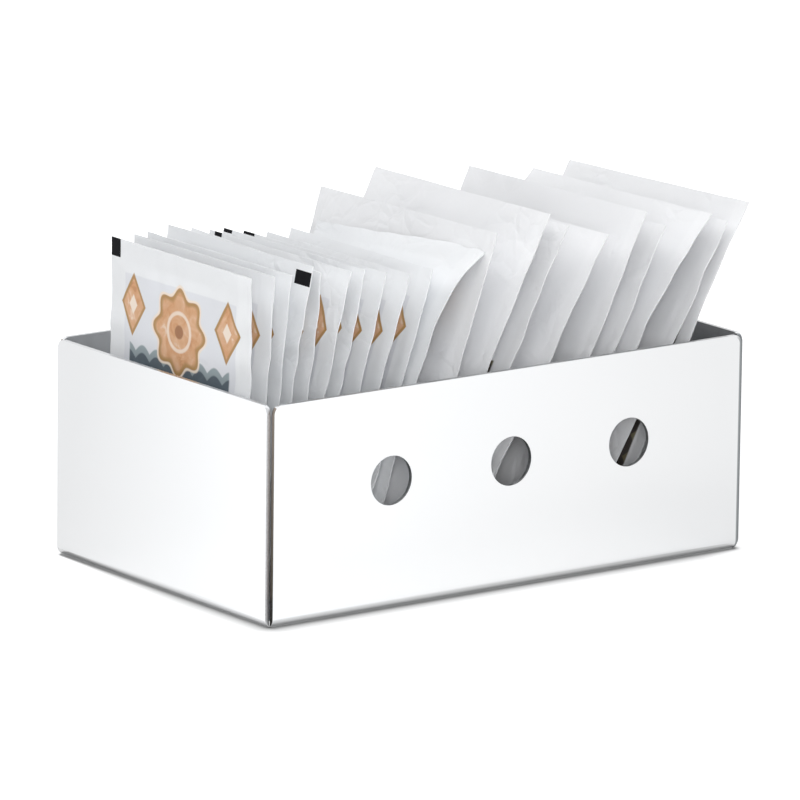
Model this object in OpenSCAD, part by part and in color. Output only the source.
// Sugar packet holder: an open tray folded from one sheet of polished steel, with two kinds of
// paper sachets filed upright in it. The sachets stand on the tray's floor and lean more and
// more towards its far end, like cards in a box.
// Millimetres. +X runs along the long walls, the wall with the holes faces -Y, +Z is up, and
// the origin is the middle of the tray's underside.

/* [Tray] */
// Length over the end walls
tray_length = 130; // [120:1:170]
// Width over the long walls
tray_width = 81; // [76:1:110]
// Height of the walls
tray_height = 49; // [40:1:60]
// Thickness of the steel sheet
sheet = 1; // [0.8:0.1:1.5]
// Outer radius of the folds along the floor
bend_radius = 2.2; // [1.8:0.1:4]
// Radius on the top corners of each wall
panel_corner = 2; // [0.5:0.25:5]
// Space left between two walls in each open corner seam
seam_gap = 0.2; // [0.1:0.05:0.8]

/* [Viewing holes] */
// Number of holes along the front wall
hole_count = 3; // [1:1:5]
// Diameter of a hole
hole_diameter = 11.0; // [6:0.2:16]
// Height of the holes' centres
hole_height = 28.6; // [20:0.1:30]

/* [Small sachets] */
// Width of a small sachet
small_width = 52.5; // [42:0.5:60]
// Height of a small sachet
small_height = 72.5; // [60:0.5:80]
// Thickness at the fullest place
small_belly = 2.3; // [1.5:0.1:2.6]
// Width of the sealed border
small_seal = 5; // [3:0.5:8]

/* [Large sachets] */
// Width of a large sachet
large_width = 64.3; // [55:0.1:72]
// Height of a large sachet
large_height = 85; // [75:0.5:95]
// Thickness at the fullest place
large_belly = 3.5; // [2:0.1:3.8]
// Width of the sealed border
large_seal = 6; // [4:0.5:10]

/* [Paper and sugar] */
// Thickness of one layer of paper
paper = 0.15; // [0.1:0.01:0.2]
// Part of the pocket's depth that the sugar takes up
fill_share = 0.86; // [0.6:0.02:0.94]

/* [Clearances] */
// Least space between two sachets, and between a sachet and an end wall
sachet_gap = 0.4; // [0.3:0.05:0.6]
// Space between a sachet's lower edge and the floor
floor_gap = 0.3; // [0.2:0.05:0.6]

/* [Row] */
// How far a sachet is drawn up to come out of the row
lift_height = 90; // [80:1:110]
// How high the highest sachet is held off the floor by the sachets beside it
most_rise = 6; // [0:0.5:8]
// How far the sachet that stands furthest out of line is from the middle of the row
most_shift = 3.5; // [0:0.5:5]
// How much lower the lowest large sachet is, where its paper was cut short
most_short = 3.4; // [0:0.2:5]

/* [Hidden] */
// Lean of each sachet from upright, in degrees, from the first at -X to the last
small_angles = [1.2, 5, 7.2, 8.6, 9, 14.5, 15.5, 16.5, 19, 18.5, 20];
large_angles = [23.3, 26.2, 28, 30.5, 28, 28.5, 29.5, 30, 30];
// Share of the greatest rise that each sachet stands at, of the greatest shift, to the front,
// and of the most that a sachet is cut short by
rise_shares = [0, 0, 0, 0.29, 0, 0.12, 0.16, 0, 0, 0, 1, 0, 0.34, 0, 0, 0, 0, 0.3, 0, 0];
shift_shares = [0, 0, 0, 0, 0, 0, 0, 0, 0, 0, 1, 0, 0, 0, 0, 0, 0, 0, 0, 0];
short_shares = [0, 0, 0, 0, 0, 0, 0, 0, 0, 0, 0, 1, 0, 0, 0.45, 0, 0.95, 0, 0.9, 0];
// Share of the tray's spare length before each sachet, over and above what the row needs
spread_shares = [
    0.03, 0.00, 0.00, 0.00, 0.03, 0.00, 0.01, 0.06, 0.04, 0.08, 0.00,
    0.04, 0.11, 0.00, 0.15, 0.09, 0.03, 0.04, 0.16, 0.00
];
// Where the points of a sachet lie between its sealed borders, across and up
col_shares = [0, 0.12, 0.35, 0.65, 0.88, 1];
row_shares = [0, 0.1, 0.3, 0.5, 0.72, 0.88, 1];
// Heights up a sachet at which the space to its neighbour is worked out
test_shares = [for (step = [0:20]) step / 20];
// Exponents of the crown: how far the sugar has settled, and how full the sides and ends are
settle = 0.75;
side_fullness = 0.6;
end_fullness = 0.7;
// Length by which a cutting shape stands past what it cuts
overrun = 2;
// Facets of a full circle
$fn = 96;

small_count = len(small_angles);
large_count = len(large_angles);
count = small_count + large_count;
lean = concat(small_angles, large_angles);
rise = most_rise * rise_shares;
shift = most_shift * shift_shares;
inner_length = tray_length - 2 * sheet;
foot_z = sheet + floor_gap;
// Each wall stops short of the next wall's inner face by the seam
long_run = tray_length - 2 * (sheet + seam_gap);
end_run = tray_width - 2 * (sheet + seam_gap);

function is_small(i) = i < small_count;
function width(i) = is_small(i) ? small_width : large_width;
function height(i) = (is_small(i) ? small_height : large_height) - most_short * short_shares[i];
function belly(i) = is_small(i) ? small_belly : large_belly;
function seal(i) = is_small(i) ? small_seal : large_seal;

// How full a sachet is, from 0 at the borders to 1 at the belly
function crown(across, up) =
    pow(sin(180 * across), side_fullness) * pow(sin(180 * pow(up, settle)), end_fullness);
function between(value) = max(0, min(1, value));
function depth(i, at) =
    2 * paper + (belly(i) - 2 * paper)
    * crown(0.5, between((at - seal(i)) / (height(i) - 2 * seal(i))));

// Least distance between the feet of sachet i and the next, standing or both drawn up
function least_pitch(i) = max([
    for (share = test_shares)
        for (raised = [0, lift_height])
            let (at = rise[i] + share * height(i))
                (depth(i, at - rise[i]) + depth(i + 1, at - rise[i + 1])) / 2 + sachet_gap
                - (at + raised) * sin(lean[i + 1] - lean[i])
]) / cos(lean[i]);

function total(values) = [for (value = values) 1] * values;

least_pitches = [for (i = [0:count - 2]) least_pitch(i)];
first_x = -inner_length / 2 + sachet_gap + belly(0) / 2;
last_reach = (tray_height - foot_z) * tan(lean[count - 1])
    + belly(count - 1) / 2 / cos(lean[count - 1]) + sachet_gap;
spare = inner_length / 2 - last_reach - first_x - total(least_pitches);
feet = [
    for (i = 0, x = first_x + spread_shares[0] * spare;
        i < count;
        i = i + 1, x = x + (i < count ? least_pitches[i - 1] + spread_shares[i] * spare : 0)) x
];

function number(i) = i < 9 ? str("0", i + 1) : str(i + 1);
function sachet_name(i) = is_small(i)
    ? str("small_sachet_", number(i)) : str("large_sachet_", number(i - small_count));
function sugar_name(i) = is_small(i)
    ? str("small_sugar_", number(i)) : str("large_sugar_", number(i - small_count));

// Outline w wide and h high, standing on its middle, with its two lower corners rounded by r
module round_bottom(w, h, r) {
    translate([-w / 2, r]) square([w, h - r]);
    translate([r - w / 2, 0]) square([w - 2 * r, r]);
    for (side = [-1, 1]) translate([side * (w / 2 - r), r]) circle(r);
}

module round_top(w, h, r) {
    translate([0, h]) mirror([0, 1]) round_bottom(w, h, r);
}

// Section of the sheet across two opposite walls and the floor between them
module channel_section(span) {
    difference() {
        round_bottom(span, tray_height, bend_radius);
        translate([0, sheet])
            round_bottom(span - 2 * sheet, tray_height, bend_radius - sheet);
    }
}

// Two opposite walls with the floor between them, along X, with rounded top corners
module channel(run, span) {
    intersection() {
        rotate([90, 0, 90]) linear_extrude(height = run, center = true) channel_section(span);
        rotate([90, 0, 0]) linear_extrude(height = span + overrun, center = true)
            round_top(run, tray_height, panel_corner);
    }
}

module viewing_hole(x) {
    translate([x, (sheet - tray_width) / 2, hole_height])
        rotate([90, 0, 0]) cylinder(h = sheet + overrun, d = hole_diameter, center = true);
}

module tray() {
    color([0.86, 0.87, 0.89]) difference() {
        union() {
            channel(long_run, tray_width);
            rotate([0, 0, 90]) channel(end_run, tray_length);
        }
        for (i = [1:hole_count])
            viewing_hole((i / (hole_count + 1) - 0.5) * tray_length);
    }
}

// A sachet's solids are a grid of points, cols across and rows up, on both sides of its middle
// plane: front points first, then back ones. A shut grid has one point in place of the two all
// round its border.
function front_point(nr, i, j) = i * nr + j;
function back_point(nc, nr, i, j, shut) =
    shut && (i == 0 || i == nc - 1 || j == 0 || j == nr - 1) ? i * nr + j : (nc + i) * nr + j;

// Two triangles for a cell with corners p, q, r, s, cut from p to r or from q to s
function cell(p, q, r, s, from_p) = from_p ? [[p, q, r], [p, r, s]] : [[p, q, s], [q, r, s]];

function side_faces(nc, nr, back, shut) = [
    for (i = [0:nc - 2])
        for (j = [0:nr - 2])
            let (
                from_p = (2 * i < nc - 1) == (2 * j < nr - 1),
                at = [[i, j], [i, j + 1], [i + 1, j + 1], [i + 1, j]],
                p = [for (c = at) back ? back_point(nc, nr, c[0], c[1], shut)
                    : front_point(nr, c[0], c[1])]
            )
                for (face = cell(p[0], p[1], p[2], p[3], from_p))
                    back ? [face[2], face[1], face[0]] : face
];

function rim_faces(nc, nr) = [
    for (i = [0:nc - 2])
        for (j = [0, nr - 1])
            let (
                a = front_point(nr, i, j), b = front_point(nr, i + 1, j),
                c = back_point(nc, nr, i + 1, j, false), d = back_point(nc, nr, i, j, false)
            )
                j == 0 ? [a, b, c, d] : [d, c, b, a],
    for (j = [0:nr - 2])
        for (i = [0, nc - 1])
            let (
                a = back_point(nc, nr, i, j, false), b = back_point(nc, nr, i, j + 1, false),
                c = front_point(nr, i, j + 1), d = front_point(nr, i, j)
            )
                i == 0 ? [a, b, c, d] : [d, c, b, a]
];

// halves[i][j] is half the solid's thickness at column i and row j
module grid_solid(cols, rows, halves, shut) {
    nc = len(cols);
    nr = len(rows);
    points = [
        for (side = [1, -1])
            for (i = [0:nc - 1])
                for (j = [0:nr - 1]) [side * halves[i][j], cols[i], rows[j]]
    ];
    faces = concat(
        side_faces(nc, nr, false, shut),
        side_faces(nc, nr, true, shut),
        shut ? [] : rim_faces(nc, nr)
    );
    polyhedron(points = points, faces = faces);
}

function across(i, share) = seal(i) - width(i) / 2 + share * (width(i) - 2 * seal(i));
function up(i, share) = seal(i) + share * (height(i) - 2 * seal(i));
// Half the depth of the pocket between the two layers of paper
function pocket_half(i, col, row) = (belly(i) / 2 - paper) * crown(col, row);

// Drops the first and the last value of a list
function inner(values) = [for (k = [1:len(values) - 2]) values[k]];

// The outside of the paper, with its flat sealed border
module wrapper(i) {
    cols = concat([0], col_shares, [1]);
    rows = concat([0], row_shares, [1]);
    nc = len(cols);
    nr = len(rows);
    y = concat([-width(i) / 2], [for (share = col_shares) across(i, share)], [width(i) / 2]);
    z = concat([0], [for (share = row_shares) up(i, share)], [height(i)]);
    grid_solid(y, z, [for (c = cols) [for (r = rows) paper + pocket_half(i, c, r)]], false);
}

module pocket(i) {
    y = [for (share = col_shares) across(i, share)];
    z = [for (share = row_shares) up(i, share)];
    grid_solid(y, z, [for (c = col_shares) [for (r = row_shares) pocket_half(i, c, r)]], true);
}

module placed(i) {
    translate([feet[i], -shift[i], foot_z]) rotate([0, lean[i], 0]) translate([0, 0, rise[i]])
        children();
}

// A flat paper bag, sealed on all four sides round an empty pocket
module sachet(i) {
    color(is_small(i) ? [0.91, 0.92, 0.93] : [0.95, 0.95, 0.96]) placed(i) difference() {
        wrapper(i);
        pocket(i);
    }
}

// The sugar inside, which takes the pocket's shape and is a little thinner
module sugar(i) {
    cols = inner(col_shares);
    rows = inner(row_shares);
    y = [for (share = cols) across(i, share)];
    z = [for (share = rows) up(i, share)];
    halves = [for (c = cols) [for (r = rows) fill_share * pocket_half(i, c, r)]];
    color([0.98, 0.97, 0.94]) placed(i) grid_solid(y, z, halves, false);
}

tray();
for (i = [0:count - 1]) {
    sachet(i);
    sugar(i);
}
